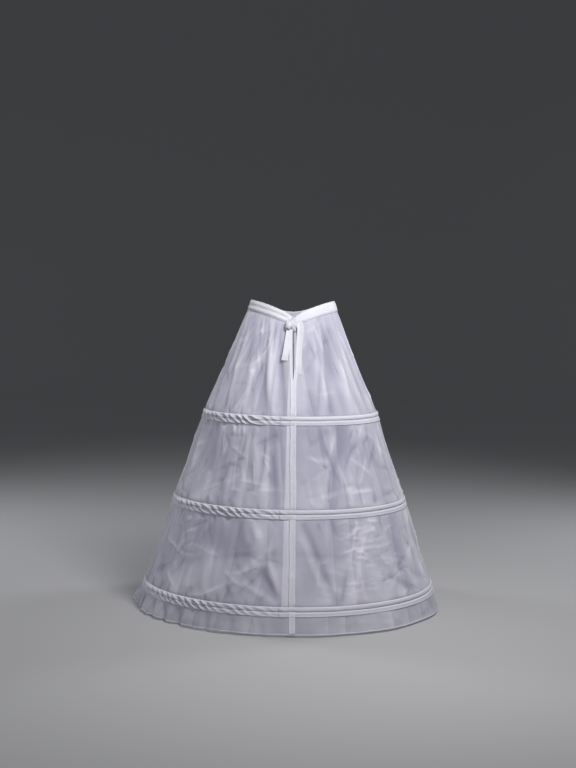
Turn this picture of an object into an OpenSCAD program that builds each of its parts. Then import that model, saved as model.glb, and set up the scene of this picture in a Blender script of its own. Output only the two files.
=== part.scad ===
// Hooped petticoat: a skirt of thin white cloth that hangs from a drawn waistband and is held
// out by three sprung hoops in sewn casings. Sizes are in millimetres. +Z is up, the wearer
// faces +Y and the tie is at the back, -Y. The origin is the middle of the waist opening,
// level with the top of the band at the hips. Angles start at the centre back and grow
// towards +X, the wearer's right.

/* [Waist] */
// Half width of the waistband, hip to hip
waist_half_w = 123; // [105:1:150]
// Half depth of the waistband, front to back
waist_half_d = 96; // [84:1:120]
// Height of the waistband
band_h = 30; // [26:1:40]
// How far the band dips at the centre back
back_dip = 44; // [15:1:60]
// How far the band dips at the centre front
front_dip = 35; // [10:1:50]
// Space between the two ends of the band
band_ends = 8; // [7:1:12]

/* [Hoops] */
// Thickness of the hoop wire
hoop_d = 5; // [3:0.5:7]
// Radius of the upper hoop
upper_r = 255; // [225:1:285]
// Drop from the waist to the upper hoop
upper_drop = 330; // [300:1:365]
// Radius of the middle hoop
middle_r = 340; // [310:1:365]
// Drop from the waist to the middle hoop
middle_drop = 580; // [535:1:620]
// Radius of the lower hoop
lower_r = 424; // [394:1:436]
// Drop from the waist to the lower hoop
lower_drop = 830; // [760:1:900]
// Length of the sleeve that joins the ends of a hoop
sleeve_len = 40; // [24:1:60]

/* [Cloth] */
// Thickness of the skirt cloth
cloth_t = 1; // [0.8:0.1:1.4]
// How far the skirt billows out between two hoops
billow = 3; // [0:0.5:8]
// Depth of the soft folds between two hoops
fold_depth = 5; // [0:0.5:8]

/* [Casings] */
// Height of a casing above the middle of its hoop
casing_up = 8; // [7:0.5:11]
// Height of a casing below the middle of its hoop
casing_down = 17; // [14:0.5:22]
// Depth of the puckers on the wearer's left
pucker = 1.5; // [0:0.1:2.5]

/* [Flounce] */
// Drop from the lower hoop to the hem
flounce_drop = 65; // [50:1:90]
// How far the hem stands out beyond the lower hoop
hem_flare = 23; // [10:1:45]
// Depth of the ruffles at the hem
ruffle = 9; // [0:0.5:12]
// Thickness that the rolled hem adds
hem_roll = 1.2; // [0.5:0.1:2]

/* [Back] */
// Length of the slit below the band
slit_len = 155; // [115:1:190]
// Width of the slit half way down
slit_w = 6; // [5:0.5:10]
// Width of the centre back tape
tape_w = 18; // [15:1:24]

/* [Tie] */
// Width of the tie tape
tie_w = 18; // [14:1:20]
// Thickness of the tie tape
tie_t = 1; // [0.8:0.1:1.2]

/* [Hidden] */

// Space left between pieces that are sewn or lie together
seat = 0.3;
// Space between a tape and the cloth under it
lie = 0.2;
// Thickness of the centre back tape and the slit bindings
tape_t = 0.4;
// A casing clears the cloth by the tape that runs under it
casing_off = tape_t + 2 * lie;
// Wall of the sleeve on a hoop, and its fit on the wire
sleeve_wall = 0.8;
sleeve_fit = 0.05;
// Room for the hoop to slide in its casing
hoop_play = 1.8;
// Gap between the two ends of a casing, where the hoop is threaded in
casing_gap = 2;

// Columns of facets round the skirt, closest on the wearer's left, where the cloth is puckered
right_steps = 17;
front_steps = 20;
left_steps = 32;

drops = [upper_drop, middle_drop, lower_drop];
radii = [upper_r, middle_r, lower_r];
hem_drop = lower_drop + flounce_drop;
hem_r = lower_r + hem_flare;

// The cloth lies inside each hoop by the sleeve's half thickness, squared to the cloth's slope,
// and by the bulge of the cloth where it runs straight behind a casing
back_knots = [
    [waist_half_d, band_h + back_dip], [upper_r, upper_drop], [middle_r, middle_drop],
    [lower_r, lower_drop], [hem_r, hem_drop]
];
slopes = [
    for (k = [0 : 3]) (back_knots[k + 1][0] - back_knots[k][0]) / (back_knots[k + 1][1] - back_knots[k][1])
];
casing_chord = casing_up * casing_down / (casing_up + casing_down);
function hoop_stand(k) =
    (hoop_d / 2 + sleeve_fit + sleeve_wall + seat) * norm([1, slopes[k + 1]])
    + casing_chord * max(0, slopes[k + 1] - slopes[k]);
body_radii = [for (k = [0 : 2]) radii[k] - hoop_stand(k)];

// The band is a strip folded over the drawstring, with the skirt sewn into its open edge
band_flare = 10;
seam_in = 6;
channel = tie_t + 2 * seat;
band_t = channel + 2 * cloth_t;
string_room = band_h - seam_in - cloth_t;
string_h = min(tie_w, string_room - 2 * seat);
string_drop = cloth_t + (string_room - string_h) / 2;

function mix(a, b, f) = a + (b - a) * f;
function at(t, r, z) = [r * sin(t), -r * cos(t), z];
function flat(lists) = [for (one = lists) each one];
function unit(v) = v / norm(v);

// The waist: an oval whose top edge dips in a V at the back and a curve at the front
function waist_r(t) = 1 / norm([sin(t) / waist_half_w, cos(t) / waist_half_d]);
function band_top(t) = cos(t) > 0 ? -back_dip * (1 - abs(sin(t))) : -front_dip * pow(cos(t), 2);
function band_foot(t) = band_top(t) - band_h;
function band_r(t, z) = waist_r(t) + band_flare * (band_top(t) - z) / band_h;

// The skirt's outer face without folds: straight from the band to each hoop and on to the hem
function seam_z(t) = band_foot(t) - seat;
function seam_r(t) = band_r(t, band_foot(t)) - cloth_t - (channel - cloth_t) / 2;
function body_r(t, z) = lookup(z, [
    [-hem_drop, hem_r], [-drops[2], body_radii[2]], [-drops[1], body_radii[1]],
    [-drops[0], body_radii[0]], [seam_z(t), seam_r(t)]
]);

// Folds die out at the casings and beside the centre back seam
fold_waves = [[9, 40, 17, 10], [13, 0, 22, 70], [12, 120, 19, 200]];
function calm(t) = 1 - exp(-45 * (1 - cos(t)));
function wave(t, w) = 0.6 * sin(w[0] * t + w[1]) + 0.4 * sin(w[2] * t + w[3]);
function fold_out(t, k, f) = sin(180 * f) * (billow + fold_depth * calm(t) * wave(t, fold_waves[k]));
function leftward(t) = 1.6 * max(0, -sin(t)) * (0.5 + 0.5 * cos(t));

// Rows of the panels as [tier, share of the tier]; tier -1 is sewn into the band, tier 3 is the foot
slit_share = slit_len / (upper_drop - casing_up + seam_z(0));
rows = [
    [-1, 0], [0, 0], [0, slit_share / 2], [0, slit_share], [0, (1 + slit_share) / 2], [0, 1],
    [1, 0], [1, 1 / 3], [1, 2 / 3], [1, 1], [2, 0], [2, 1 / 3], [2, 2 / 3], [2, 1], [3, 0]
];
slit_top_row = 1;
slit_foot_row = 3;
slit_halves = [band_ends / 2, band_ends / 2, slit_w / 2];
panel_foot = -lower_drop - 0.45 * casing_down;
function tier_top(t, k) = k == 0 ? seam_z(t) : -drops[k - 1] - casing_down;
function tier_z(t, k, f) = mix(tier_top(t, k), casing_up - drops[k], f);
function row_z(t, row) =
    row[0] < 0 ? band_foot(t) + seam_in : row[0] > 2 ? panel_foot : tier_z(t, row[0], row[1]);
function row_r(t, row) =
    row[0] < 0 ? band_r(t, row_z(t, row)) - cloth_t - (channel - cloth_t) / 2
    : row[0] > 2 ? body_r(t, panel_foot)
    : body_r(t, row_z(t, row)) + fold_out(t, row[0], row[1]);

// Column angles from the centre back round to a side seam: an edge, the tape's edge, then evenly
function slit_half(i) = i < len(slit_halves) ? slit_halves[i] : 0;
function tape_angle(half, r) = asin((half + tape_w / 2) / r);
function side_angle(c, steps, half, r) =
    c == 0 ? asin(half / r) : mix(tape_angle(half, r), 90, (c - 1) / (steps - 1));
function right_angles(half, r) = [for (c = [0 : right_steps]) side_angle(c, right_steps, half, r)];
function left_angles(half, r) = [for (c = [left_steps : -1 : 0]) -side_angle(c, left_steps, half, r)];
front_angles = [for (c = [0 : front_steps]) mix(90, 270, c / front_steps)];
function round_angles(half, r) = concat(
    right_angles(half, r),
    [for (c = [1 : front_steps]) front_angles[c]],
    [for (c = [left_steps - 1 : -1 : 1]) 360 - side_angle(c, left_steps, half, r)]
);

// A cloth solid from two grids of points, rows from the top down and columns left to right
function quads(grid, rows_n, cols_n, wrap, turned) = [
    for (i = [0 : rows_n - 2], c = [0 : cols_n - (wrap ? 1 : 2)])
        let (
            n = (c + 1) % cols_n,
            a = grid + i * cols_n + c,
            b = grid + i * cols_n + n,
            d = a + cols_n,
            e = b + cols_n
        )
            each turned ? [[a, e, b], [a, d, e]] : [[a, b, e], [a, e, d]]
];
function rim(line, other) = [
    for (k = [0 : len(line) - 2])
        each [[line[k + 1], line[k], other[k]], [line[k + 1], other[k], other[k + 1]]]
];
function closed(line, wrap) = wrap ? concat(line, [line[0]]) : line;
function backwards(line) = [for (k = [len(line) - 1 : -1 : 0]) line[k]];

module cloth(outer, inner, wrap = false) {
    rows_n = len(outer);
    cols_n = len(outer[0]);
    back = rows_n * cols_n;
    top = closed([for (c = [0 : cols_n - 1]) c], wrap);
    foot = closed([for (c = [0 : cols_n - 1]) (rows_n - 1) * cols_n + c], wrap);
    start = [for (i = [rows_n - 1 : -1 : 0]) i * cols_n];
    end = [for (i = [0 : rows_n - 1]) i * cols_n + cols_n - 1];
    polyhedron(
        concat(flat(outer), flat(inner)),
        concat(
            quads(0, rows_n, cols_n, wrap, false),
            quads(back, rows_n, cols_n, wrap, true),
            rim(top, [for (k = top) back + k]),
            rim(backwards(foot), [for (k = backwards(foot)) back + k]),
            wrap ? [] : rim(start, [for (k = start) back + k]),
            wrap ? [] : rim(end, [for (k = end) back + k])
        )
    );
}

// A strip from closed loops of points, one loop for each section along it
module strip(loops) {
    m = len(loops[0]);
    n = len(loops);
    polyhedron(
        flat(loops),
        concat(
            [
                for (s = [0 : n - 2], k = [0 : m - 1])
                    let (j = (k + 1) % m, a = s * m + k, b = a + m, d = s * m + j, e = d + m)
                        each [[a, b, e], [a, e, d]]
            ],
            [[for (k = [0 : m - 1]) k]],
            [[for (k = [m - 1 : -1 : 0]) (n - 1) * m + k]]
        )
    );
}

// Waistband, drawn up on its string
band_angles = concat(round_angles(band_ends / 2, waist_half_d), [360 - asin(band_ends / 2 / waist_half_d)]);

module waistband() {
    color("#f1f0f6")
        strip([
            for (t = band_angles)
                let (top = band_top(t), foot = band_foot(t), under = top - cloth_t)
                    [
                        at(t, band_r(t, top), top),
                        at(t, band_r(t, foot), foot),
                        at(t, band_r(t, foot) - cloth_t, foot),
                        at(t, band_r(t, under) - cloth_t, under),
                        at(t, band_r(t, under) - cloth_t - channel, under),
                        at(t, band_r(t, foot) - cloth_t - channel, foot),
                        at(t, band_r(t, foot) - band_t, foot),
                        at(t, band_r(t, top) - band_t, top)
                    ]
        ]);
}

module waist_drawstring() {
    color("#f7f7fb")
        strip([
            for (t = band_angles)
                let (
                    top = band_top(t) - string_drop,
                    foot = top - string_h,
                    out_top = band_r(t, top) - cloth_t - seat,
                    out_foot = band_r(t, foot) - cloth_t - seat
                )
                    [
                        at(t, out_top, top),
                        at(t, out_foot, foot),
                        at(t, out_foot - tie_t, foot),
                        at(t, out_top - tie_t, top)
                    ]
        ]);
}

// Tie: a knot over the ends of the band, a loop and two tails that lie on the skirt
knot_w = 20;
knot_r = 8;
knot_z = band_top(0) - 0.42 * band_h;
knot_turn = asin(0.28 * knot_w / waist_half_d);
knot_y = -band_r(knot_turn, knot_z) - (knot_r + seat) * norm([1, band_flare / band_h]);
stem_w = band_ends - 2 * seat;
stem_h = 0.5 * string_h;
skirt_slope = (body_radii[0] - seam_r(0)) / (upper_drop + seam_z(0));

module tie_knot() {
    color("#f7f7fb")
        union() {
            translate([0, knot_y, knot_z])
                rotate([0, 90, 0])
                    rotate_extrude($fn = 48)
                        polygon([
                            [0, -knot_w / 2],
                            [0.7 * knot_r, -knot_w / 2],
                            [knot_r, -0.28 * knot_w],
                            [knot_r, 0.28 * knot_w],
                            [0.7 * knot_r, knot_w / 2],
                            [0, knot_w / 2]
                        ]);
            translate([-stem_w / 2, knot_y, knot_z - stem_h / 2])
                cube([stem_w, band_t - knot_y - band_r(0, knot_z), stem_h]);
        }
}

// A point that lies on the skirt above the upper hoop, at a height over it
function skirt_r(t, z) =
    body_r(t, z) + fold_out(t, 0, (seam_z(t) - z) / (seam_z(t) - tier_z(t, 0, 1)));
function lay(x, z, h) =
    let (t = asin(x / body_r(0, z)), r = skirt_r(t, z)) at(asin(x / r), r + h, z);

// Each stop of a tail: sideways, drop below the knot, tilt; the loop: along, height over the skirt
left_route = [[-11, 9, 4], [-14, 34, 10], [-17, 58, 14], [-21, 84, 14], [-26, 110, 10]];
right_route = [[11, 9, -6], [14, 36, -4], [15, 74, 0], [14, 112, 2], [13, 150, 2]];
loop_route = [
    [10.8, 7.9], [18, 11], [25, 12.5], [31, 11.5], [34, 9], [31, 6.6], [25, 5.6], [19, 5.2], [11.5, 4.9]
];
loop_turn = 26;
tail_lift = 2;

module tail(route) {
    strip([
        for (s = route)
            let (
                z = knot_z - s[1],
                across = tie_w / 2 * cos(s[2]),
                up = tie_w / 2 * sin(s[2]),
                left_z = z + up,
                right_z = z - up
            )
                [
                    lay(s[0] - across, left_z, tail_lift + tie_t),
                    lay(s[0] - across, left_z, tail_lift),
                    lay(s[0] + across, right_z, tail_lift),
                    lay(s[0] + across, right_z, tail_lift + tie_t)
                ]
    ]);
}

module tie_left_tail() {
    color("#f7f7fb") tail(left_route);
}

module tie_right_tail() {
    color("#f7f7fb") tail(right_route);
}

module tie_loop() {
    down = unit([0, -skirt_slope, -1]);
    out = unit([0, -1, skirt_slope]);
    along = cos(loop_turn) * down + sin(loop_turn) * [-1, 0, 0];
    across = cross(out, along);
    foot = [-3, -body_r(0, knot_z), knot_z];
    path = [for (s = loop_route) foot + s[0] * along + s[1] * out];
    last = len(path) - 1;
    color("#f7f7fb")
        strip([
            for (i = [0 : last])
                let (
                    way = unit(path[min(i + 1, last)] - path[max(i - 1, 0)]),
                    over = tie_t / 2 * cross(way, across),
                    wide = tie_w / 2 * across
                )
                    [
                        path[i] - wide + over,
                        path[i] + wide + over,
                        path[i] + wide - over,
                        path[i] - wide - over
                    ]
        ]);
}

// Skirt panels, joined at the side seams and at the centre back
function row_points(i, angles, h) = [for (t = angles) at(t, row_r(t, rows[i]) + h, row_z(t, rows[i]))];

module panel(angle_rows) {
    last = len(rows) - 1;
    color("#d6d6e2")
        cloth(
            [for (i = [0 : last]) row_points(i, angle_rows[i], 0)],
            [for (i = [0 : last]) row_points(i, angle_rows[i], -cloth_t)]
        );
}

module front_panel() {
    panel([for (row = rows) front_angles]);
}

module back_left_panel() {
    panel([for (i = [0 : len(rows) - 1]) left_angles(slit_half(i), row_r(0, rows[i]))]);
}

module back_right_panel() {
    panel([for (i = [0 : len(rows) - 1]) right_angles(slit_half(i), row_r(0, rows[i]))]);
}

// Tape and bindings lie on the panels, on the same facets
function edge_angles(i) =
    let (half = slit_half(i), r = row_r(0, rows[i])) [asin(half / r), tape_angle(half, r)];

module binding(side) {
    angle_rows = [
        for (i = [slit_top_row : slit_foot_row])
            let (pair = edge_angles(i)) side > 0 ? pair : [-pair[1], -pair[0]]
    ];
    levels = [lie + tape_t, lie];
    grids = [
        for (h = levels)
            [for (i = [slit_top_row : slit_foot_row]) row_points(i, angle_rows[i - slit_top_row], h)]
    ];
    color("#f1f0f6") cloth(grids[0], grids[1]);
}

module slit_left_binding() {
    binding(-1);
}

module slit_right_binding() {
    binding(1);
}

// Flounce rows as [share of its drop, share of the ruffle, thickness of the rolled hem]
flounce_top = panel_foot - seat;
flounce_still = (flounce_top + lower_drop + casing_down + 2) / (flounce_top + hem_drop);
flounce_rows = [[0, 0, 0], [flounce_still, 0, 0], [0.9, 0.88, 0], [0.905, 0.89, hem_roll], [1, 1, hem_roll]];
function flounce_z(row) = mix(flounce_top, -hem_drop, row[0]);
function ruffle_out(t) = ruffle * (leftward(t) * sin(36 * t) + 0.35 * calm(t) * sin(11 * t + 40));
function flounce_r(t, row) = body_r(t, flounce_z(row)) + row[1] * ruffle_out(t);
function flounce_points(row, angles, h) = [for (t = angles) at(t, flounce_r(t, row) + h, flounce_z(row))];

module flounce() {
    angle_rows = [for (row = flounce_rows) round_angles(0, body_r(0, flounce_z(row)))];
    last = len(flounce_rows) - 1;
    color("#dcdce8")
        cloth(
            [for (i = [0 : last]) flounce_points(flounce_rows[i], angle_rows[i], flounce_rows[i][2])],
            [for (i = [0 : last]) flounce_points(flounce_rows[i], angle_rows[i], -cloth_t)],
            true
        );
}

module centre_back_tape() {
    function edges(r) = [-tape_angle(0, r), 0, tape_angle(0, r)];
    function layer(h) = concat(
        [for (i = [slit_foot_row : len(rows) - 1]) row_points(i, edges(row_r(0, rows[i])), h)],
        [for (i = [0 : 2]) flounce_points(flounce_rows[i], edges(body_r(0, flounce_z(flounce_rows[i]))), h)]
    );
    color("#f1f0f6") cloth(layer(lie + tape_t), layer(lie));
}

// Hoops: sprung wire rings whose two ends meet in a sleeve
sleeve_angle = 16;
hoop_break = 1;

module hoop(k) {
    open = hoop_break / radii[k] * 180 / PI;
    color("#b9bbc2")
        translate([0, 0, -drops[k]])
            rotate([0, 0, sleeve_angle - 90 + open / 2])
                rotate_extrude(angle = 360 - open, $fn = 96)
                    translate([radii[k], 0])
                        circle(d = hoop_d, $fn = 24);
}

module sleeve(k) {
    turn = sleeve_len / radii[k] * 180 / PI;
    color("#8f9198")
        translate([0, 0, -drops[k]])
            rotate([0, 0, sleeve_angle - 90 - turn / 2])
                rotate_extrude(angle = turn, $fn = 96)
                    translate([radii[k], 0])
                        difference() {
                            circle(d = hoop_d + 2 * (sleeve_fit + sleeve_wall), $fn = 24);
                            circle(d = hoop_d + 2 * sleeve_fit, $fn = 24);
                        }
}

module upper_hoop() {
    hoop(0);
}

module middle_hoop() {
    hoop(1);
}

module lower_hoop() {
    hoop(2);
}

module upper_hoop_sleeve() {
    sleeve(0);
}

module middle_hoop_sleeve() {
    sleeve(1);
}

module lower_hoop_sleeve() {
    sleeve(2);
}

// Casings: a strip rolled over the hoop, pinched under it and sewn flat below, puckered at the left
roll_in = hoop_d / 2 + hoop_play;
roll_out = roll_in + cloth_t;
corner = tan(22.5);
pinch = roll_out + 1.5;

function casing_angles(k) =
    let (
        r = body_radii[k],
        all = round_angles(0, r),
        n = len(all),
        open = casing_gap / r * 90 / PI,
        split = all[n - 2]
    )
        concat([split + open - 360, all[n - 1] - 360], [for (c = [0 : n - 3]) all[c]], [split - open]);
// The cloth behind a casing: it runs straight from edge to edge where it would curve away
function backing_r(t, k, w) =
    let (
        top = body_r(t, casing_up - drops[k]),
        foot = body_r(t, -casing_down - drops[k]),
        share = (w + casing_down) / (casing_up + casing_down)
    )
        max(body_r(t, w - drops[k]), mix(foot, top, share));
function puckered(t, n) = pucker * leftward(t) * (1 + sin(48 * t + 100 * n));
function casing_loop(t, k) =
    let (
        r = radii[k],
        z = -drops[k],
        under = [for (w = [casing_up, -pinch, -casing_down]) backing_r(t, k, w) + casing_off],
        higher = pinch - 0.7 * cloth_t,
        tucked = backing_r(t, k, -higher) + casing_off
    )
        [
            at(t, under[0] + cloth_t, z + casing_up),
            at(t, r + roll_out + puckered(t, 1), z + corner * roll_out),
            at(t, r + roll_out + puckered(t, 2), z - corner * roll_out),
            at(t, under[1] + cloth_t + puckered(t, 3), z - pinch),
            at(t, under[2] + cloth_t + puckered(t, 4), z - casing_down),
            at(t, under[2], z - casing_down),
            at(t, tucked, z - higher),
            at(t, r + roll_in, z - corner * roll_in),
            at(t, r + roll_in, z + corner * roll_in),
            at(t, under[0], z + casing_up)
        ];

module casing(k) {
    color("#e9e8f1") strip([for (t = casing_angles(k)) casing_loop(t, k)]);
}

module upper_casing() {
    casing(0);
}

module middle_casing() {
    casing(1);
}

module lower_casing() {
    casing(2);
}

waistband();
waist_drawstring();
tie_knot();
tie_loop();
tie_left_tail();
tie_right_tail();
front_panel();
back_left_panel();
back_right_panel();
slit_left_binding();
slit_right_binding();
centre_back_tape();
upper_hoop();
middle_hoop();
lower_hoop();
upper_hoop_sleeve();
middle_hoop_sleeve();
lower_hoop_sleeve();
upper_casing();
middle_casing();
lower_casing();
flounce();
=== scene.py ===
from functools import lru_cache
from math import asin, atan2, cos, exp, hypot, pi, radians, sin
from random import Random

import bmesh
import bpy
import numpy as np
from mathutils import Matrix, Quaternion, Vector, noise
from mathutils.bvhtree import BVHTree


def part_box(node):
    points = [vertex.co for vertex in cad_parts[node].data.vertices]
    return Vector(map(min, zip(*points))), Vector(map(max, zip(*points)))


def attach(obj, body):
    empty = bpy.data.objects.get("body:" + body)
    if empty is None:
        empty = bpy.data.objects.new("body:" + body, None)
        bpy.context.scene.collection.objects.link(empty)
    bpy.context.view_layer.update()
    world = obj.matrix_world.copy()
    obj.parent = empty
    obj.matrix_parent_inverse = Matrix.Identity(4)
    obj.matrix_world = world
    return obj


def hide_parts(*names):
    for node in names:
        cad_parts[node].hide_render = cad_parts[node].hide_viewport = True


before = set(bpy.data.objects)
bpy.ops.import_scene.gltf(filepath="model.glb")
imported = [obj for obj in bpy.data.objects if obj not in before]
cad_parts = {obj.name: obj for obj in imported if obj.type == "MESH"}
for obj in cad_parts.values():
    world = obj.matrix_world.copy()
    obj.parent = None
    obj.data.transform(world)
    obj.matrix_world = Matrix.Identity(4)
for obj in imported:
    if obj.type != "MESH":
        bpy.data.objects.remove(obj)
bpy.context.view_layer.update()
scene = bpy.context.scene

# Hoops: three rings of sprung steel wire that carry the skirt's shape. The ends of each meet in a
# crimped sleeve. Their solids are right as they are, so here they only get their metal.

MM = 0.001


class Socket:
    """A shader socket that takes part in Python expressions; each one adds its Math node."""

    def __init__(self, tree, socket):
        self.tree = tree
        self.socket = socket

    def math(self, operation, *values):
        node = self.tree.nodes.new("ShaderNodeMath")
        node.operation = operation
        for slot, value in zip(node.inputs, values):
            if isinstance(value, Socket):
                self.tree.links.new(value.socket, slot)
            else:
                slot.default_value = value
        return Socket(self.tree, node.outputs[0])

    def __add__(self, other):
        return self.math("ADD", self, other)

    def __radd__(self, other):
        return self.math("ADD", other, self)

    def __sub__(self, other):
        return self.math("SUBTRACT", self, other)

    def __mul__(self, other):
        return self.math("MULTIPLY", self, other)

    def __rmul__(self, other):
        return self.math("MULTIPLY", other, self)

    def __gt__(self, other):
        return self.math("GREATER_THAN", self, other)

    def __lt__(self, other):
        return self.math("LESS_THAN", self, other)

    def sine(self):
        return self.math("SINE", self)

    def size(self):
        return self.math("ABSOLUTE", self)

    def remainder(self, step):
        return self.math("FLOORED_MODULO", self, step)

    def within(self, high):
        return (self > 0) * (self < high)


class Finish:
    """One material and the nodes that make it."""

    def __init__(self, name):
        self.material = bpy.data.materials.new(name)
        self.material.use_nodes = True
        self.tree = self.material.node_tree
        self.tree.nodes.clear()

    def node(self, kind, settings=None, sockets=None, out=0):
        node = self.tree.nodes.new("ShaderNode" + kind)
        for key, value in (settings or {}).items():
            setattr(node, key, value)
        for key, value in (sockets or {}).items():
            slot = next(s for s in node.inputs if s.enabled and key in (s.name, s.identifier))
            if isinstance(value, Socket):
                self.tree.links.new(value.socket, slot)
            else:
                slot.default_value = (*value, 1) if slot.type == "RGBA" else value
        shown = [s for s in node.outputs if s.enabled]
        return Socket(self.tree, shown[out]) if shown else None

    def done(self, shader):
        self.node("OutputMaterial", None, {"Surface": shader})
        return self.material


def metal_finish(name, colour, dull):
    made = Finish(name)
    place = made.node("TexCoord", None, None, 3)
    drawn = made.node("Mapping", None, {"Vector": place, "Scale": (60, 60, 2400)})
    lines = made.node("TexNoise", None, {"Vector": drawn, "Scale": 1.0, "Detail": 3.0})
    spots = made.node("TexNoise", None, {"Vector": place, "Scale": 90.0, "Detail": 4.0})
    tint = made.node(
        "Mix",
        {"data_type": "RGBA"},
        {"Factor": spots, "A": [0.86 * c for c in colour], "B": colour},
    )
    relief = made.node("Bump", None, {"Height": lines, "Strength": 0.15, "Distance": 0.0004})
    return made.done(
        made.node(
            "BsdfPrincipled",
            None,
            {"Base Color": tint, "Metallic": 1.0, "Roughness": dull + 0.2 * lines, "Normal": relief},
        )
    )


HOOP_NAMES = ("upper", "middle", "lower")
wire_finish = metal_finish("hoop_wire", (0.72, 0.73, 0.76), 0.2)
sleeve_finish = metal_finish("sleeve_metal", (0.56, 0.57, 0.60), 0.32)
hoop_r = []
hoop_z = []
for name in HOOP_NAMES:
    low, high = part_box(name + "_hoop")
    wire_d = high.z - low.z
    hoop_r.append(((high.x - low.x) / 2 - wire_d / 2) / MM)
    hoop_z.append((high.z + low.z) / 2 / MM)
    for node, finish in ((name + "_hoop", wire_finish), (name + "_hoop_sleeve", sleeve_finish)):
        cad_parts[node].data.materials.clear()
        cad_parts[node].data.materials.append(finish)

# Skirt: three panels of crisp, half sheer white cloth, sewn together at the sides and the centre
# back. They are cut a little fuller than the hoops, more on the wearer's left, so they hang in
# soft folds. The panels are hung as one cloth, then cut apart at the seams.

WAIST_HALF_W, WAIST_HALF_D = 123, 96
BAND_H, BACK_DIP, FRONT_DIP, BAND_FLARE = 30, 44, 35, 10
DRAWN_REACH, DRAWN_TOP, DRAWN_FOOT = 17, 0.16, 0.24
SEAM_IN = 6
CASING_UP, CASING_DOWN = 8, 17
CLOTH_STAND = (3.86, 3.85, 3.97)
SWELL, SWELL_NEAR, SWELL_FAR = 7, 7, 55
HEM_DROP, HEM_R = 895, 447
SLIT_LEN, SLIT_REACH = 155, 14


def mix(a, b, share):
    return a + (b - a) * share


def ease(x):
    x = min(1, max(0, x))
    return x * x * (3 - 2 * x)


def around(t, r, z):
    return Vector((r * sin(t), -r * cos(t), z)) * MM


def waist_r(t):
    return 1 / hypot(sin(t) / WAIST_HALF_W, cos(t) / WAIST_HALF_D)


def drawn_in(t):
    """1 at the two ends of the band, which the tie draws together, and 0 away from them."""
    return exp(-((WAIST_HALF_D * sin(t) / DRAWN_REACH) ** 2)) if cos(t) > 0 else 0


def band_edge(t):
    return -BACK_DIP * (1 - abs(sin(t))) if cos(t) > 0 else -FRONT_DIP * cos(t) ** 2


def band_top(t):
    return band_edge(t) - DRAWN_TOP * BAND_H * drawn_in(t)


def band_foot(t):
    return band_edge(t) - BAND_H * (1 - DRAWN_FOOT * drawn_in(t))


def band_r(t, z):
    return waist_r(t) + BAND_FLARE * (band_edge(t) - z) / BAND_H


def straight(z, knots):
    """The value at z on straight lines between knots, which go down from the top."""
    for (z0, r0), (z1, r1) in zip(knots, knots[1:]):
        if z >= z1:
            return mix(r0, r1, (z0 - z) / (z0 - z1))
    return knots[-1][1]


@lru_cache(maxsize=None)
def body_knots(t):
    top = band_foot(t)
    hoops = [(hoop_z[k], hoop_r[k] - CLOTH_STAND[k]) for k in range(3)]
    return [(top, band_r(t, top) - 1.3)] + hoops + [(-HEM_DROP, HEM_R)]


@lru_cache(maxsize=None)
def swell(z):
    """How far the sewn casings lift the cloth beside each hoop; behind the hoop it stays in."""
    offs = [abs(z - middle) for middle in hoop_z]
    return SWELL * sum((1 - exp(-((off / SWELL_NEAR) ** 2))) * exp(-off / SWELL_FAR) for off in offs)


def body_r(t, z):
    """The skirt's outer face without folds."""
    return straight(z, body_knots(t)) + swell(z) * ease((band_foot(t) - z) / 60)


def leftward(t):
    """Most on the wearer's left, towards the back."""
    return max(0, -sin(t)) * (0.55 + 0.45 * cos(t))


# Pulls and folds in the back of the cloth: from x, z to x, z, how far out, and half the width
PULLS = (
    (-62, -115, -54, -322, 7, 17),
    (-120, -55, -78, -322, -8, 16),
    (-40, -165, -26, -325, -6, 9),
    (-67, -62, -92, -88, 4, 5),
    (-150, -120, -190, -320, 4, 14),
    (78, -62, 43, -88, 4, 5),
    (98, -85, 106, -322, -5, 12),
    (74, -85, 82, -320, 4, 14),
    (66, -150, 40, -200, -3, 6),
    (45, -262, 56, -322, -4, 12),
    (140, -110, 165, -320, 4, 14),
    (-38, -356, -24, -564, -3, 4),
    (-60, -440, -48, -560, -6, 11),
    (-110, -400, -90, -520, 4, 20),
    (-200, -510, -206, -566, -6, 10),
    (-212, -352, -232, -480, -5, 9),
    (140, -358, 108, -560, -6, 16),
    (122, -370, 82, -540, 4, 14),
    (172, -358, 166, -560, 4, 12),
    (30, -500, 100, -455, -2, 5),
    (40, -540, 165, -508, -2, 5),
    (55, -396, 96, -362, -3, 7),
    (31, -612, 120, -812, -7, 9),
    (22, -650, 95, -812, 4, 12),
    (205, -620, 175, -800, 5, 16),
    (-31, -814, -86, -742, -11, 13),
    (-46, -812, -128, -770, 6, 9),
    (-108, -716, -170, -772, 6, 11),
    (-36, -806, -60, -720, 6, 9),
    (-12, -768, -2, -742, 3, 5),
    (-150, -600, -140, -690, -7, 18),
    (-112, -600, -96, -640, 6, 14),
    (-245, -640, -120, -715, -6, 48),
)


PULL_COLUMNS = np.array(PULLS).T
PULL_END = 6


def pulled(x, z):
    """How far the pulls move the cloth out at x and z: two numbers, or two columns of them."""
    x0, z0, x1, z1, out, width = PULL_COLUMNS
    run = ((x - x0) * (x1 - x0) + (z - z0) * (z1 - z0)) / ((x1 - x0) ** 2 + (z1 - z0) ** 2)
    run = np.clip(run, 0, 1)
    off = ((x - mix(x0, x1, run)) ** 2 + (z - mix(z0, z1, run)) ** 2) / width**2
    return np.sum(out * np.exp(-off) * (off < PULL_END), axis=-1)


def calm(t):
    """0 beside the centre back seam, where the cloth lies flat, and 1 away from it."""
    return 1 - exp(-45 * (1 - cos(t)))


TUCK_STEP, TUCK_DEPTH, TUCK_REACH = 62, 8, 17


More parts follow.
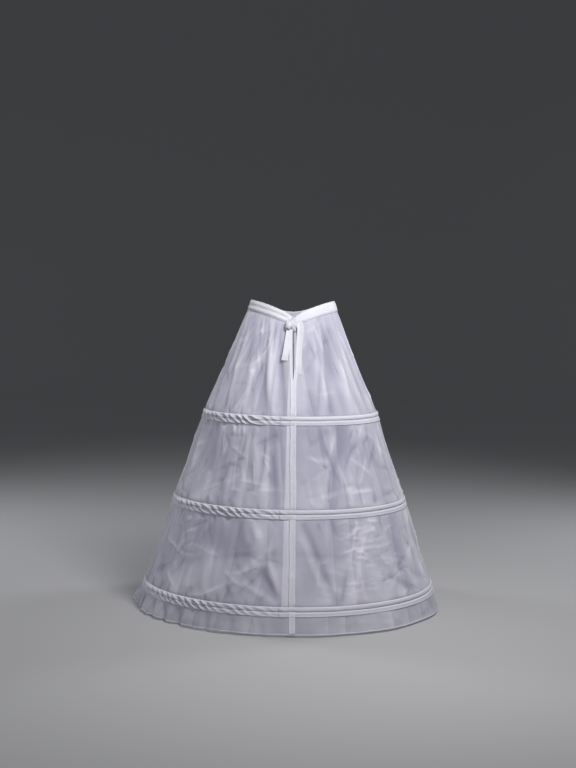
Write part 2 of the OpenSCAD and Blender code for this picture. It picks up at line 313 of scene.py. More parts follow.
def tucked(t, z):
    """How far in the cloth goes at the small tucks where a slack casing gathers it."""
    depth = 0
    for k in range(3):
        off = max(z - hoop_z[k] - CASING_UP, hoop_z[k] - CASING_DOWN - z)
        if -3 < off < 3 * TUCK_REACH:
            way = hoop_r[k] * t / TUCK_STEP + 0.7 * noise.noise(Vector((6 * t, k, 3.6)))
            depth += exp(-((off / TUCK_REACH) ** 2)) * max(0, sin(2 * pi * way + 2 * k)) ** 5
    return TUCK_DEPTH * min(1, 1.6 * leftward(t)) * depth


def folded(t, z, share):
    """How far the cloth stands out at a share of the drop between two rows of sewing."""
    r = body_r(t, z)
    hang = noise.noise(Vector((2.6 * t, z / 420, 1.7)))
    hang += 0.9 * ease((r - 120) / 180) * noise.noise(Vector((7 * t, z / 260, 5.1)))
    hang += 0.5 * ease((r - 190) / 180) * noise.noise(Vector((17 * t, z / 120, 8.3)))
    out = 5 + (7 + 3 * leftward(t)) * calm(t) * hang
    if cos(t) > 0:
        out += pulled(r * sin(t), z)
    return out * sin(pi * share) ** 0.7


SKIRT_COLUMNS = 384
PANEL_FOOT = hoop_z[2] - 0.45 * CASING_DOWN
TIERS = (
    ("sewn", 3, lambda t: PANEL_FOOT),
    ("free", 34, lambda t: hoop_z[2] + CASING_UP),
    ("sewn", 4, lambda t: hoop_z[1] - CASING_DOWN),
    ("free", 32, lambda t: hoop_z[1] + CASING_UP),
    ("sewn", 4, lambda t: hoop_z[0] - CASING_DOWN),
    ("free", 38, lambda t: hoop_z[0] + CASING_UP),
    ("sewn", 2, band_foot),
)
TIER_TOPS = [tier[2] for tier in TIERS[1:]] + [lambda t: band_foot(t) + SEAM_IN]
SKIRT_ROWS = sum(tier[1] for tier in TIERS)


def skirt_row(row):
    """The tier that a row of the cloth is in, and its share of that tier's height."""
    for k, (_, count, _) in enumerate(TIERS):
        if row <= count:
            return k, row / count
        row -= count


def slit_half(z):
    top = band_foot(0)
    share = (top - z) / SLIT_LEN
    return 0 if share >= 1 else mix(3.0, 2.2, max(0, share)) * (1 - max(0, share) ** 8)


def skirt_spot(u, v):
    t = 2 * pi * u
    k, share = skirt_row(round(v * SKIRT_ROWS))
    z = mix(TIERS[k][2](t), TIER_TOPS[k](t), share)
    r = body_r(t, min(z, band_foot(t)))
    if z > band_foot(t):
        r = band_r(t, z) - 1.6
    if TIERS[k][0] == "free":
        r += folded(t, z, share)
    spot = around(t, r - tucked(t, z), z)
    side = 1 if u < 0.5 else -1
    spot.x += side * MM * slit_half(z) * exp(-((r * sin(t) / SLIT_REACH) ** 2)) * (cos(t) > 0)
    return spot


def cut_cloth(columns, rows, place):
    """A flat grid of cloth with its own UV map, whose points then go where place(u, v) says."""
    bm = bmesh.new()
    bm.loops.layers.uv.new("cut")
    bmesh.ops.create_grid(bm, x_segments=columns, y_segments=rows, size=0.5, calc_uvs=True)
    for point in bm.verts:
        point.co = place(point.co.x + 0.5, point.co.y + 0.5)
    return bm


SEAM_GAP = 0.02


def close_seam(bm):
    bmesh.ops.remove_doubles(bm, verts=bm.verts, dist=SEAM_GAP * MM)


def new_piece(name, bm):
    mesh = bpy.data.meshes.new(name)
    for face in bm.faces:
        face.smooth = True
    bm.to_mesh(mesh)
    bm.free()
    piece = bpy.data.objects.new(name, mesh)
    scene.collection.objects.link(piece)
    return piece


def dress(piece, finish, slot, *nodes, thick=0.0):
    """Gives a cloth piece its thickness and finish, and its place in the object."""
    if thick:
        wall = piece.modifiers.new("thickness", "SOLIDIFY")
        wall.thickness = thick * MM
        wall.offset = -1
    piece.data.materials.clear()
    piece.data.materials.append(finish)
    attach(piece, "root")
    if nodes:
        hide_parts(*nodes)


THREAD = 0.0009
# Stitches along a seam and round the skirt: half their width, their step and their length
SEAM_STITCH = (0.0006, 0.005, 0.0034)
ROUND_STITCH = (0.0007, 0.004, 0.0028)
STITCH_TINT = (0.90, 0.90, 0.93)


def cloth_finish(
    name, tints, cover, cut, glow=0.2, sewn=((), ()), doubled=((), ()), crinkle=1.0, hung=0.0
):
    """Plain woven cloth that covers a share of what is behind it. cut is the size of the piece in
    metres. sewn are the shares of its width and of its height at which a row of stitches runs, and
    doubled the stretches of its width and of its height, as shares, where the cloth lies double.
    hung is how strongly its tone varies in upright streaks and in a ramp that repeats across its width,
    and how much sheen it has."""
    made = Finish(name)
    uv = made.node("UVMap", {"uv_map": "cut"})
    place = made.node("Mapping", None, {"Vector": uv, "Scale": (*cut, 1)})
    x = made.node("SeparateXYZ", None, {"Vector": place})
    y = Socket(made.tree, x.socket.node.outputs[1])
    solid = made.node("TexCoord", None, None, 3)
    broad = made.node("TexNoise", None, {"Vector": solid, "Scale": 6.0, "Detail": 3.0})
    fine = made.node("TexNoise", None, {"Vector": solid, "Scale": 85.0, "Detail": 5.0, "Roughness": 0.6})
    slub_place = made.node("Mapping", None, {"Vector": place, "Scale": (14, 900, 1)})
    slub = made.node("TexNoise", None, {"Vector": slub_place, "Scale": 1.0, "Detail": 2.0})
    # Upright streaks (fall) and a ramp that repeats across the width (lap) vary the tone, as strongly as
    # hung says
    fall_place = made.node("Mapping", None, {"Vector": place, "Scale": (11, 2.2, 1)})
    fall = made.node("TexNoise", None, {"Vector": fall_place, "Scale": 1.0, "Detail": 3.0})
    drift_place = made.node("Mapping", None, {"Vector": place, "Scale": (7, 0.9, 1)})
    drift = made.node("TexNoise", None, {"Vector": drift_place, "Scale": 1.0, "Detail": 0.0})
    lap = (9 * x + 2.6 * drift).remainder(1)
    # crease is painted shade and highlight: darker and more see-through where creases and pulls go in,
    # lighter and denser where they stand out
    crease = made.node("Attribute", {"attribute_name": "crease"}, None, 2)
    beat = 2 * pi / THREAD
    weave = (x * beat).sine() * (y * beat).sine()
    tone = 0.5 + 1.5 * (broad - 0.5) + hung * (0.8 * (fall - 0.5) + 0.3 * (lap - 0.5)) + crease
    height = 0.12 * weave + 0.25 * slub + crinkle * fine
    stretches = [(x - low * cut[0]).within((high - low) * cut[0]) for low, high in doubled[0]]
    stretches += [(y - low * cut[1]).within((high - low) * cut[1]) for low, high in doubled[1]]
    for stretch in stretches:
        tone = tone + 0.8 * stretch
    dense = cover + (1 - cover) * (tone + 0.4 * slub - 0.7)
    shade = made.node("Mix", {"data_type": "RGBA"}, {"Factor": tone, "A": tints[0], "B": tints[1]})
    half, step, length = SEAM_STITCH
    lines = [(x - share * cut[0]).size() < half for share in sewn[0]]
    lines = [line * (y.remainder(step) < length) for line in lines]
    half, step, length = ROUND_STITCH
    rows = [(y - share * cut[1]).size() < half for share in sewn[1]]
    for line in lines + [row * (x.remainder(step) < length) for row in rows]:
        shade = made.node(
            "Mix", {"data_type": "RGBA"}, {"Factor": 0.8 * line, "A": shade, "B": STITCH_TINT}
        )
        height = height + 0.8 * line
        dense = dense + 0.4 * line
    relief = made.node("Bump", None, {"Height": height, "Strength": 0.35, "Distance": 0.0012})
    body = made.node(
        "BsdfPrincipled",
        None,
        {
            "Base Color": shade,
            "Roughness": 0.48 + 0.2 * fine,
            "Sheen Weight": 0.3 + 0.7 * hung,
            "Sheen Roughness": 0.35,
            "Specular IOR Level": 0.4,
            "Normal": relief,
        },
    )
    lit_through = [mix(dark, light, 0.5) for dark, light in zip(*tints)]
    through = made.node("BsdfTranslucent", None, {"Color": lit_through})
    cloth = made.node("MixShader", None, {"Fac": glow, "Shader": body, "Shader_001": through})
    holes = made.node("BsdfTransparent")
    return made.done(made.node("MixShader", None, {"Fac": dense, "Shader": holes, "Shader_001": cloth}))


skirt_bm = cut_cloth(SKIRT_COLUMNS, SKIRT_ROWS, skirt_spot)
close_seam(skirt_bm)
skirt = new_piece("skirt_cut", skirt_bm)

# Where the cloth is sewn it stays; the rest is cut fuller than it hangs, and hangs in a simulation.
# FULL_TOP is the share of that fullness at the top, where the skirt is cut close.
FULL_RIGHT, FULL_LEFT, FULL_DROP, FULL_TOP = 0.012, 0.032, 0.002, 0.2
HANG_FRAMES = 16
# How far from the centre back seam the cloth is held a little
SEAM_REACH = 24


def let_hang(piece):
    sewn = piece.vertex_groups.new(name="sewn")
    piece.shape_key_add(name="hung")
    cut = piece.shape_key_add(name="cut")
    for i, point in enumerate(piece.data.vertices):
        x, y, z = point.co / MM
        t = atan2(x, -y)
        full = mix(FULL_RIGHT, FULL_LEFT, min(1, leftward(t)))
        full *= mix(FULL_TOP, 1, ease((hoop_z[0] + 130 - z) / 200))
        full *= 1 + 1.2 * noise.noise(Vector((5 * t, z / 300, 2.9)))
        cut.data[i].co = Vector((x * (1 + full), y * (1 + full), z * (1 + FULL_DROP))) * MM
        held = z > band_foot(t) - 1 or z < PANEL_FOOT + 1
        for k in range(3):
            held = held or hoop_z[k] - CASING_DOWN - 1 < z < hoop_z[k] + CASING_UP + 1
        if held:
            sewn.add([i], 1.0, "REPLACE")
        elif cos(t) > 0 and abs(x) < SEAM_REACH:
            sewn.add([i], 0.6 * (1 - abs(x) / SEAM_REACH), "REPLACE")
    hang = piece.modifiers.new("hang", "CLOTH")
    cloth = hang.settings
    cloth.vertex_group_mass = "sewn"
    cloth.rest_shape_key = cut
    cloth.quality = 6
    cloth.mass = 0.08
    cloth.tension_stiffness = cloth.compression_stiffness = 40
    cloth.shear_stiffness = 8
    cloth.bending_stiffness = 4
    cloth.tension_damping = cloth.compression_damping = cloth.shear_damping = 12
    cloth.air_damping = 3
    cloth.effector_weights.gravity = 0.4
    hang.collision_settings.use_collision = False
    hang.point_cache.frame_start, hang.point_cache.frame_end = 1, HANG_FRAMES
    for moment in range(1, HANG_FRAMES + 1):
        scene.frame_set(moment)
    settle(piece)
    scene.frame_set(1)


def settle(piece):
    """Makes what the modifiers show the piece's own mesh."""
    shown = piece.evaluated_get(bpy.context.evaluated_depsgraph_get())
    mesh = bpy.data.meshes.new_from_object(shown)
    piece.modifiers.clear()
    piece.shape_key_clear()
    piece.data = mesh


let_hang(skirt)
finer = skirt.modifiers.new("finer", "SUBSURF")
finer.levels = finer.render_levels = 1
settle(skirt)

# Creases that the crisp cloth keeps from lying folded: short sharp lines, pressed in at random, and
# fine level crinkles low on the right
CREASES, CRINKLES = 1100, 90
# How much a crease changes the cloth's tone for each millimetre, and the share that a pull has: painted
# shade in their hollows and painted highlight on their ridges
CREASE_PAINTED_SHADING, PULL_PAINTED_SHADING = 0.23, 0.25
# The radius at which creases are laid out, how far round they go each way, and their lowest and top
CREASE_R, CREASE_ROUND, CREASE_FOOT, CREASE_TOP = 340, 1070, -822, -60


def crease_marks():
    """Each crease: its middle, round and up, its lean, half its length, its width and its depth."""
    draw = Random(41)
    marks = []
    for _ in range(CREASES):
        x0, z0 = draw.uniform(-CREASE_ROUND, CREASE_ROUND), draw.uniform(CREASE_FOOT, CREASE_TOP)
        if z0 < hoop_z[0] or draw.random() < 0.35:
            lean = draw.gauss(0, 0.45) + (pi / 2 if draw.random() < 0.3 else 0)
            deep = draw.choice((-1, 1)) * draw.uniform(0.5, 2.8)
            marks.append((x0, z0, lean, draw.uniform(14, 75), draw.uniform(2.5, 7), deep))
    for _ in range(CRINKLES):
        x0, z0 = draw.gauss(190, 60), draw.gauss(-690, 60)
        lean = draw.gauss(pi / 2, 0.25)
        marks.append((x0, z0, lean, draw.uniform(8, 32), draw.uniform(2, 3), draw.uniform(0.8, 2)))
    return marks


def press_creases(piece):
    mesh = piece.data
    count = len(mesh.vertices)
    spots = np.empty(3 * count, np.float32)
    mesh.vertices.foreach_get("co", spots)
    spots = spots.reshape(-1, 3) / MM
    faces = np.empty(3 * count, np.float32)
    mesh.vertex_normals.foreach_get("vector", faces)
    turn = np.arctan2(spots[:, 0], -spots[:, 1])
    way, z = CREASE_R * turn, spots[:, 2]
    depth = np.zeros(count, np.float32)
    for x0, z0, lean, half, width, out in crease_marks():
        along = (way - x0) * sin(lean) + (z - z0) * cos(lean)
        off = np.abs((way - x0) * cos(lean) - (z - z0) * sin(lean))
        depth += out * np.exp(-off / width) * np.clip(1 - (along / half) ** 2, 0, 1)
    still = 1 - np.exp(-60 * (1 - np.cos(turn)))
    for top, foot in ((hoop_z[k] + CASING_UP, hoop_z[k] - CASING_DOWN) for k in range(3)):
        still *= np.clip(np.maximum(z - top, foot - z) / 14, 0, 1)
    edge = np.array([band_foot(t) for t in turn])
    still *= np.clip((edge - z) / 20, 0, 1)
    depth *= still
    spots += faces.reshape(-1, 3) * depth[:, None]
    mesh.vertices.foreach_set("co", (spots * MM).astype(np.float32).ravel())
    # The crease attribute is painted shade and highlight: it darkens the cloth's tone where creases and
    # pulls go in and lightens it where they stand out
    depth += PULL_PAINTED_SHADING * pulled(spots[:, :1], spots[:, 2:]) * (spots[:, 1] < 0)
    mesh.attributes.new("crease", "FLOAT", "POINT").data.foreach_set("value", CREASE_PAINTED_SHADING * depth)
    mesh.update()


press_creases(skirt)

CLOTH_TINTS = ((0.53, 0.53, 0.68), (0.83, 0.82, 0.93))
SEAM_LAPS = ((0.0, 0.003), (0.246, 0.254), (0.746, 0.754), (0.989, 1.0))
skirt_finish = cloth_finish(
    "skirt_cloth", CLOTH_TINTS, 0.74, (2.4, 0.88), doubled=(SEAM_LAPS, ()), hung=1.0
)


def cut_panel(name, from_u, to_u, node):
    """One panel of the hung cloth, cut out along its seams."""
    bm = bmesh.new()
    bm.from_mesh(skirt.data)
    uv = bm.loops.layers.uv["cut"]
    away = []
    for face in bm.faces:
        u = sum(loop[uv].uv.x for loop in face.loops) / len(face.loops)
        if not from_u < u < to_u:
            away.append(face)
    bmesh.ops.delete(bm, geom=away, context="FACES")
    panel = new_piece(name, bm)
    dress(panel, skirt_finish, "skirt_cloth", node)


cut_panel("skirt_front", 0.25, 0.75, "front_panel")
cut_panel("skirt_back_left", 0.75, 1.0, "back_left_panel")
cut_panel("skirt_back_right", 0.0, 0.25, "back_right_panel")

# Flounce: a gathered strip of the same cloth, sewn under the lowest casing. It stands out in
# ruffles on the wearer's left and runs smoother on the right. Its hem is a narrow machine roll.

FLOUNCE_COLUMNS, FLOUNCE_ROWS, ROLL_ROWS = 600, 34, 7
FLOUNCE_TOP = PANEL_FOOT - 0.3
RUFFLES, RUFFLE = 36, 9
ROLL_R = 2.8


def ruffled(t):
    drift = noise.noise(Vector((8 * t, 0.2, 3.3)))
    wave = (0.8 + 0.6 * drift) * sin(RUFFLES * t + 3.4 * drift)
    wave += 0.3 * sin(2 * RUFFLES * t + 1.1 + 4 * drift)
    low = sin(11 * t + 0.7) + 0.7 * noise.noise(Vector((14 * t, 0.4, 9.1)))
    return RUFFLE * (1.2 * max(0, -sin(t)) * (0.8 + 0.2 * cos(t)) * wave + 0.35 * calm(t) * low)


def flounce_spot(u, v):
    t = 2 * pi * u
    row = round(v * FLOUNCE_ROWS)
    out = ruffled(t)
    lift = 0.18 * out + 1.2 * noise.noise(Vector((7 * t, 2.2, 0.9)))
    hem_z = -HEM_DROP + ROLL_R + lift
    if row < ROLL_ROWS:
        turn = mix(0.3 * pi, -1.1 * pi, row / ROLL_ROWS)
        return around(t, HEM_R + out + ROLL_R * cos(turn) - 1, hem_z + ROLL_R * sin(turn))
    share = (row - ROLL_ROWS) / (FLOUNCE_ROWS - ROLL_ROWS)
    z = mix(hem_z, FLOUNCE_TOP, share)
    loose = ease((1 - share) / 0.85)
    wrinkle = 1.8 * noise.noise(Vector((40 * t, z / 22, 6.1))) * sin(pi * share) * calm(t)
    return around(t, body_r(t, z) + loose * out + wrinkle, z)


flounce_bm = cut_cloth(FLOUNCE_COLUMNS, FLOUNCE_ROWS, flounce_spot)
close_seam(flounce_bm)
flounce = new_piece("flounce_ruffle", flounce_bm)
FLOUNCE_TINTS = (CLOTH_TINTS[0], (0.84, 0.84, 0.92))
HEM_FOLD = (-0.1, 0.23)
flounce_finish = cloth_finish(
    "flounce_cloth", FLOUNCE_TINTS, 0.6, (3.1, 0.07), doubled=((), (HEM_FOLD,)), hung=0.8
)
dress(flounce, flounce_finish, "skirt_cloth", "flounce")

# Centre back tape and slit bindings: narrow woven tapes, sewn flat along both edges. The tape
# covers the centre back seam from the foot of the slit to the hem; the bindings finish the slit.

under = []
for piece in (skirt, flounce):
    bm = bmesh.new()
    bm.from_mesh(piece.data)
    under.append(BVHTree.FromBMesh(bm))
    bm.free()
bpy.data.objects.remove(skirt)


def on_back(x, z, height):
    """A point that lies at a height over the cloth of the back, at x and z, also over the slit."""
    start = Vector((x * MM, -1, z * MM))
    hits = [tree.ray_cast(start, Vector((0, 1, 0)), 1) for tree in under]
    hits = [hit for hit in hits if hit[0]]
    if not hits:
        return around(asin(x / body_r(0, z)), body_r(0, z) + height, z)
    nearest = min(hits, key=lambda hit: hit[3])
    face = nearest[1] if nearest[1].y < 0 else -nearest[1]
    return nearest[0] + face * height * MM


TAPE_W, TAPE_T = 17, 0.5
TAPE_TOP, TAPE_FOOT = band_foot(0) - SLIT_LEN, -HEM_DROP + 5
TAPE_COLUMNS, TAPE_ROWS = 10, 260


def tape_spot(u, v):
    z = mix(TAPE_FOOT, TAPE_TOP, v)
    edge = abs(2 * u - 1)
    pucker = 0.7 * (1 + noise.noise(Vector((u * 3, z / 8, 4.4)))) * (0.4 + edge)
    sway = 1.6 * noise.noise(Vector((0, z / 120, 7.7))) + 0.9 * noise.noise(Vector((4 * u, z / 17, 2.7)))
    return on_back(mix(-TAPE_W / 2, TAPE_W / 2, u) + sway, z, 0.5 + TAPE_T + pucker)


tape_tints = ((0.74, 0.74, 0.84), (0.84, 0.84, 0.92))
tape_finish = cloth_finish(
    "tape_cloth", tape_tints, 0.9, (0.017, 0.67), 0.15, ((0.14, 0.86), ()), crinkle=0.7
)
tape = new_piece("centre_back_strip", cut_cloth(TAPE_COLUMNS, TAPE_ROWS, tape_spot))
dress(tape, tape_finish, "band_cloth", "centre_back_tape", thick=TAPE_T)

for side, word in ((-1, "left"), (1, "right")):

    def binding_spot(u, v, side=side):
        z = mix(TAPE_TOP - 3, band_foot(0) + 2, v)
        across = u if side > 0 else 1 - u
        x = slit_half(z) + 0.5 + 9 * across
        bead = 0.9 * exp(-((across / 0.14) ** 2))
        return on_back(side * x, min(z, band_foot(asin(x / 110)) - 1), 0.5 + TAPE_T + bead)

    binding = new_piece("slit_%s_tape" % word, cut_cloth(8, 60, binding_spot))
    dress(binding, tape_finish, "band_cloth", "slit_%s_binding" % word, thick=TAPE_T)

# Casings: strips of the same cloth sewn round the skirt, each rolled over its hoop, pinched under
# it and sewn flat below. On the wearer's left the strip is slack and twists like a rope. The ends
# lap left of the centre back, where the hoop is threaded in.

CASING_COLUMNS, CASING_ROWS = 760, 22
CASING_LAP, CASING_SPLIT = 9, 27
# The slack strip's strands: their step, their slant, how far they stand out and how far they dip
STRAND_STEP, STRAND_SLANT, STRAND_OUT, STRAND_DIP = 27, 17, 5.5, 2.6
# The strip's section from its lower edge up: height, and how far out from the cloth or the hoop
CASING_SECTION = (
    (-17.0, "cloth", 1.2),
    (-16.2, "cloth", 2.2),
    (-14.6, "cloth", 1.6),
    (-11.5, "cloth", 1.1),
    (-8.6, "cloth", 1.2),
    (-7.0, "cloth", 0.9),
    (-5.2, "hoop", 1.8),
    (-2.4, "hoop", 3.4),
    (0.9, "hoop", 3.6),
    (4.0, "hoop", 2.6),
    (6.3, "cloth", 3.2),
    (8.0, "cloth", 0.8),
)
SLEEVE_TURN = radians(16)


def curve_through(points, share):
    """A smooth line through points, at a share of its length in points."""
    place = share * (len(points) - 1)
    i = min(int(place), len(points) - 2)
    f = place - i
    a, b, c, d = (points[min(max(j, 0), len(points) - 1)] for j in range(i - 1, i + 3))
    bend = 2 * a - 5 * b + 4 * c - d
    twist = 3 * b - a - 3 * c + d
    return 0.5 * (2 * b + (c - a) * f + bend * f**2 + twist * f**3)


@lru_cache(maxsize=None)
def casing_section(k, t):
    section = []
    foot, top = body_r(t, hoop_z[k] - CASING_DOWN), body_r(t, hoop_z[k] + CASING_UP)
    sleeve = exp(-((hoop_r[k] * (t - SLEEVE_TURN) / 24) ** 4))
    for w, base, out in CASING_SECTION:
        chord = mix(foot, top, (w + CASING_DOWN) / (CASING_UP + CASING_DOWN))
        cloth = max(body_r(t, hoop_z[k] + w), chord)
        section.append(Vector((out + (cloth if base == "cloth" else hoop_r[k] + 0.7 * sleeve), w, 0)))
    return section


def casing_spot(k):
    def spot(u, v):
        start = -(CASING_SPLIT + CASING_LAP) / hoop_r[k]
        t = mix(start, 2 * pi - CASING_SPLIT / hoop_r[k], u)
        r, w, _ = curve_through(casing_section(k, t), v)
        way = hoop_r[k] * u * 2 * pi
        slack = min(1, 1.6 * leftward(t) ** 0.8) * ease((CASING_DOWN + w) / 4)
        slack *= mix(0.3, 1, ease(cos(t) / 0.45))
        slack *= 0.8 + 0.5 * noise.noise(Vector((way / 70, k, 4.1)))
        beat = way / STRAND_STEP + 0.6 * noise.noise(Vector((way / 40, k, 0.7))) + w / STRAND_SLANT
        strand = (0.5 - 0.5 * cos(2 * pi * beat)) ** 0.8
        near = ease((CASING_UP - w) / 4)
        r += slack * (STRAND_OUT * strand - 0.8) * near
        w += slack * STRAND_DIP * sin(2 * pi * beat) * near
        r += 0.45 * noise.noise(Vector((way / 9, w / 6, 2.0 + k)))
        lap = ease(1 - (way - CASING_LAP) / 16)
        return around(t, r + 1.3 * lap, hoop_z[k] + w)

    return spot


casing_tints = ((0.67, 0.67, 0.79), (0.81, 0.81, 0.90))
for k, name in enumerate(HOOP_NAMES):
    length = (2 * pi * hoop_r[k] + CASING_LAP) * MM
    casing_finish = cloth_finish(
        name + "_casing_cloth",
        casing_tints,
        0.75,
        (length, 0.034),
        sewn=((), (0.09, 0.36, 0.95)),
        doubled=((), ((-0.1, 0.13), (0.4, 1.1))),
        crinkle=0.6,
    )
    casing = new_piece(name + "_casing_strip", cut_cloth(CASING_COLUMNS, CASING_ROWS, casing_spot(k)))
    dress(casing, casing_finish, "casing_cloth", name + "_casing", thick=0.6)
    length * 1.05

# Waistband: a strip folded over the drawstring, with the top of the skirt sewn into its open
# edge. It is smooth with two rows of sewing on the right, and lies in two ridges on the left.

BAND_COLUMNS, BAND_ROWS = 380, 30
BAND_GAP = 4
OUTER_SHARE, FOLD_SHARE, BAND_THICK = 0.46, 0.54, 3.0
BAND_SEWN = (0.13, 0.86)


def band_spot(u, v):
    t0 = asin(BAND_GAP / WAIST_HALF_D)
    t = mix(t0, 2 * pi - t0, u)
    top, foot = band_top(t), band_foot(t)
    fold = BAND_THICK / 2
    way = waist_r(t) * t
    left = ease((-sin(t) - 0.02) / 0.25) * ease((cos(t) + 0.3) / 0.5)
    if v < OUTER_SHARE:
        w = v / OUTER_SHARE
        z = mix(foot, top - fold, w)
        out = 0.8 * sin(pi * w) + 0.35 * noise.noise(Vector((way / 5, 2.2 * w, 0.4)))
        out += left * 1.1 * cos(2 * pi * (w - 0.25) / 0.55) * ease(w / 0.1)
        grooves = sum(exp(-(((w - row) / 0.05) ** 2)) for row in BAND_SEWN)
        out -= 0.5 * (1 - left) * grooves
    elif v < FOLD_SHARE:
        turn = pi * (v - OUTER_SHARE) / (FOLD_SHARE - OUTER_SHARE)
        z = top - fold + fold * sin(turn)
        out = -fold * (1 - cos(turn))
    else:
        w = (1 - v) / (1 - FOLD_SHARE)
        z = mix(foot, top - fold, w)
        out = -BAND_THICK + 0.3 * noise.noise(Vector((way / 6, 2.2 * w, 6.4)))
    return around(t, band_r(t, z) + out, z)


band_tints = ((0.69, 0.69, 0.80), (0.78, 0.78, 0.86))
band_finish = cloth_finish(
    "band_cloth", band_tints, 0.84, (0.73, 0.066), 0.12, ((), (0.1, 0.4)), ((), ((0.1, 1.1),)), crinkle=0.5
)
band = new_piece("waistband_strip", cut_cloth(BAND_COLUMNS, BAND_ROWS, band_spot))
dress(band, band_finish, "band_cloth", "waistband", thick=0.6)

# Drawstring and tie: one flat tape that runs inside the waistband and comes out at its two ends,
# where it is tied: a knot, one loop to the left and two tails that lie on the skirt.

TIE_W, TIE_T = 18, 0.8
STRING_H = 17.5
tie_finish = cloth_finish(
    "tie_tape", ((0.76, 0.76, 0.84), (0.83, 0.83, 0.89)), 0.92, (0.018, 0.14), 0.15, crinkle=0.7
)


def string_spot(u, v):
    t0 = asin((BAND_GAP + 1) / WAIST_HALF_D)
    t = mix(t0, 2 * pi - t0, u)
    height = STRING_H * (1 - 0.5 * drawn_in(t))
    top = mix(band_top(t), band_foot(t), 0.5) + height / 2 - 1
    z = mix(top - height, top, v)
    return around(t, band_r(t, z) - 0.5 * BAND_THICK, z)


string = new_piece("waist_string", cut_cloth(200, 4, string_spot))
dress(string, tie_finish, "tie_tape", "waist_drawstring", thick=TIE_T)

KNOT = Vector((0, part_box("tie_knot")[0].y / MM + 4, band_edge(0) - 0.42 * BAND_H))
KNOT_HALVES = Vector((16, 12, 22))
KNOT_SINK = 14


def knot_spot(u, v):
    turn, rise = 2 * pi * u, pi * (v - 0.5)
    ball = Vector((cos(rise) * sin(turn), -cos(rise) * cos(turn), sin(rise)))
    wrap = sin(9 * ball.z + 5 * ball.x + 0.8 * sin(3 * ball.x))
    swell_out = 1 + 0.05 * wrap + 0.12 * noise.noise(1.8 * ball)
    return (KNOT - Vector((0, 0, KNOT_SINK)) + KNOT_HALVES * ball * swell_out) * MM


knot_bm = cut_cloth(56, 30, knot_spot)
close_seam(knot_bm)
bmesh.ops.recalc_face_normals(knot_bm, faces=knot_bm.faces)
knot = new_piece("tie_wrap", knot_bm)
dress(knot, tie_finish, "tie_tape", "tie_knot")

# Each stop of a tail: sideways, drop below the knot, tilt, and how far it stands off the skirt
TAIL_ROUTES = {
    "left": (
        (-4, 4, 0, 6),
        (-9, 19, 5, 8),
        (-13, 38, 10, 5),
        (-17, 62, 13, 2.4),
        (-21, 87, 13, 2),
        (-26, 114, 10, 2),
    ),
    "right": (
        (7, 0, -20, 9),
        (16, 9, -14, 16),
        (19, 25, -6, 15),
        (17, 50, -2, 6),
        (15, 84, 0, 2),
        (14, 118, 2, 2),
        (13, 153, 2, 2),
    ),
}
TAIL_ROWS = 39


def tail_line(stops, share):
    x, drop, tilt, off = curve_through([Vector(stop) for stop in stops], share)
    return x, KNOT.z - drop, radians(tilt), off


def tail_walls(stops):
    """How far back a tail lies in each of its rows: on what stands out most under its width."""
    walls = []
    for row in range(TAIL_ROWS + 1):
        x, z, tilt, off = tail_line(stops, row / TAIL_ROWS)
        spread = [share * TIE_W for share in (-0.5, -0.25, 0, 0.25, 0.5)]
        cloth = [on_back(x + across * cos(tilt), z - across * sin(tilt), 1).y / MM for across in spread]
        walls.append(min(cloth + [-band_r(0, max(z, band_foot(0)))]) - off)
    near = [walls[max(0, row - 4) : row + 5] for row in range(TAIL_ROWS + 1)]
    return [sum(some) / len(some) for some in near]


def tail_spot(stops):
    walls = tail_walls(stops)

    def spot(u, v):
        x, z, tilt, _ = tail_line(stops, 1 - v)
        width = TIE_W * mix(0.6, 1, ease((1 - v) / 0.12))
        across = mix(-width / 2, width / 2, u)
        curl = 0.9 * (2 * u - 1) ** 2 * ease((1 - v) / 0.3)
        crease = 1.6 * exp(-(((u - 0.45) / 0.16) ** 2)) * ease(1 - (1 - v) / 0.6)
        wave = 0.7 * noise.noise(Vector((u * 1.5, v * 7, stops[0][0])))
        wall = walls[round((1 - v) * TAIL_ROWS)] - curl + crease - wave
        return Vector((x + across * cos(tilt), wall, z - across * sin(tilt))) * MM

    return spot


for word, stops in TAIL_ROUTES.items():
    tail = new_piece("tie_%s_tape" % word, cut_cloth(8, TAIL_ROWS, tail_spot(stops)))
    dress(tail, tie_finish, "tie_tape", "tie_%s_tail" % word, thick=TIE_T)

# The loop's stops: how far along it, and its height over the skirt
LOOP_ROUTE = (
    (3, 9),
    (9, 14),
    (17, 18),
    (26, 18.5),
    (33, 16),
    (36.5, 12),
    (34, 8),
    (27, 5.6),
    (18, 4.8),
    (10, 5.2),
    (3, 6),
)
LOOP_LEN, LOOP_TURN = 37, radians(19)


def loop_spot(u, v):
    along, height = curve_through([Vector((*stop, 0)) for stop in LOOP_ROUTE], 1 - v).xy
    slope = 0.6
    down = Vector((0, -slope, -1)).normalized()
    out = Vector((0, -1, slope)).normalized()
    way = cos(LOOP_TURN) * down + sin(LOOP_TURN) * Vector((-1, 0, 0))
    across = out.cross(way)
    foot = Vector((-6, -band_r(0, KNOT.z), KNOT.z))
    share = along / LOOP_LEN
    width = TIE_W * (0.5 + 0.55 * sin(pi * min(1, share) ** 0.8) + 0.2 * ease(share))
    cup = -4.2 * (2 * u - 1) ** 2 * (1 if v > 0.5 else -0.3)
    ripple = 1.0 * sin(2 * pi * 2 * u) * (1 - ease((along - 4) / 26))
    return (foot + along * way + (height + cup + ripple) * out + (u - 0.5) * width * across) * MM


loop = new_piece("tie_bight", cut_cloth(10, 64, loop_spot))
dress(loop, tie_finish, "tie_tape", "tie_loop", thick=TIE_T)

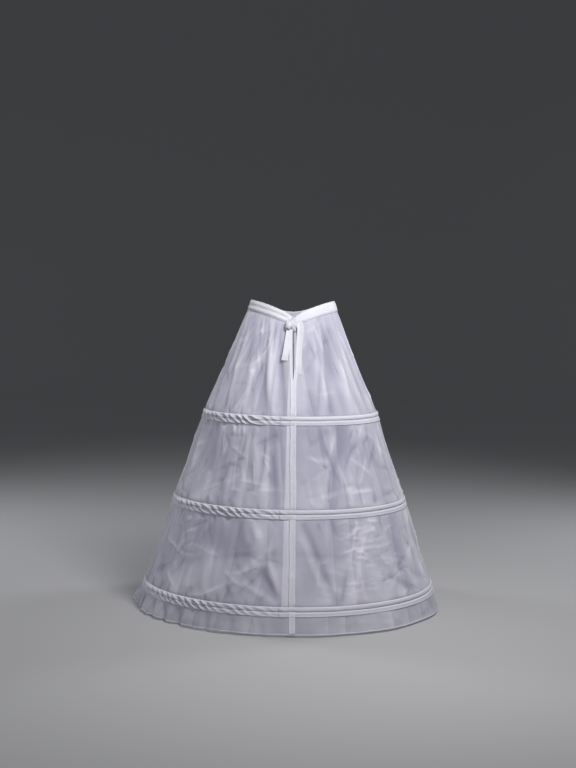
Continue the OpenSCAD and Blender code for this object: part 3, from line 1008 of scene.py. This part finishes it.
for word, stops in TAIL_ROUTES.items():
    spot = tail_spot(stops)
    path = [spot(0.5, 1 - i / TAIL_ROWS) for i in range(TAIL_ROWS + 1)]
    length = sum((b - a).length for a, b in zip(path, path[1:]))
    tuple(path[0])

# Stage: a grey floor that turns up into a round wall, lit by a key lamp, a fill lamp and two lamps
# on the far side that edge the skirt. The camera stands behind the skirt, level with the waist, a
# little rolled as the photograph is.

FLOOR_Z = -(HEM_DROP + 4) * MM
stage_bm = bmesh.new()
profile = [(0.0, 0.0), (5.0, 0.0), (6.2, 0.15), (7.1, 0.6), (7.7, 1.4), (8.0, 2.6), (8.0, 6.0)]
points = [stage_bm.verts.new((r, 0, FLOOR_Z + z)) for r, z in profile]
edges = [stage_bm.edges.new(pair) for pair in zip(points, points[1:])]
bmesh.ops.spin(
    stage_bm, geom=points + edges, cent=(0, 0, 0), axis=(0, 0, 1), angle=2 * pi, steps=64, use_merge=True
)
bmesh.ops.remove_doubles(stage_bm, verts=stage_bm.verts, dist=1e-5)
bmesh.ops.recalc_face_normals(stage_bm, faces=stage_bm.faces)
floor = new_piece("floor", stage_bm)
floor_paint = Finish("floor_paint")
floor.data.materials.append(
    floor_paint.done(
        floor_paint.node("BsdfPrincipled", None, {"Base Color": (0.42, 0.42, 0.43), "Roughness": 0.9})
    )
)


def lamp(name, place, aim, size, power, colour):
    data = bpy.data.lights.new(name, "AREA")
    data.shape, data.size, data.energy, data.color = "DISK", size, power, colour
    made = bpy.data.objects.new(name, data)
    made.location = place
    made.rotation_euler = (Vector(aim) - Vector(place)).to_track_quat("-Z", "Y").to_euler()
    scene.collection.objects.link(made)


lamp("key", (0.45, -1.05, 0.82), (0, -0.1, -0.2), 0.5, 24, (1, 0.99, 0.98))
lamp("fill", (-1.6, -3.4, 0.5), (0, 0, -0.4), 2.0, 9, (0.95, 0.97, 1))
for side, word in ((-1, "left"), (1, "right")):
    lamp("rim_" + word, (2.2 * side, 1.3, 0.7), (0, 0, -0.4), 0.9, 24, (0.97, 0.98, 1))
world = bpy.data.worlds.new("air")
world.use_nodes = True
world.node_tree.nodes["Background"].inputs["Color"].default_value = (0.9, 0.93, 1.0, 1)
world.node_tree.nodes["Background"].inputs["Strength"].default_value = 0.13
scene.world = world

PHOTO_H, SENSOR = 768, 36
FOCAL_PX, HORIZON_PX, EYE_DISTANCE, EYE_HEIGHT = 1415, 294, 4.18, 0.018
ROLL, SWING, ASIDE = radians(1.0), radians(-1.5), -0.01
camera = bpy.data.objects.new("camera", bpy.data.cameras.new("camera"))
camera.data.sensor_width = SENSOR
camera.data.lens = FOCAL_PX / PHOTO_H * SENSOR
camera.location = around(SWING, EYE_DISTANCE / MM, EYE_HEIGHT / MM) + around(SWING + pi / 2, ASIDE / MM, 0)
tilt = atan2(PHOTO_H / 2 - HORIZON_PX, FOCAL_PX)
look = around(SWING + pi, cos(tilt) / MM, -sin(tilt) / MM)
camera.rotation_mode = "QUATERNION"
camera.rotation_quaternion = look.to_track_quat("-Z", "Y") @ Quaternion((0, 0, 1), ROLL)
scene.collection.objects.link(camera)
scene.camera = camera

scene.view_settings.view_transform = "Standard"
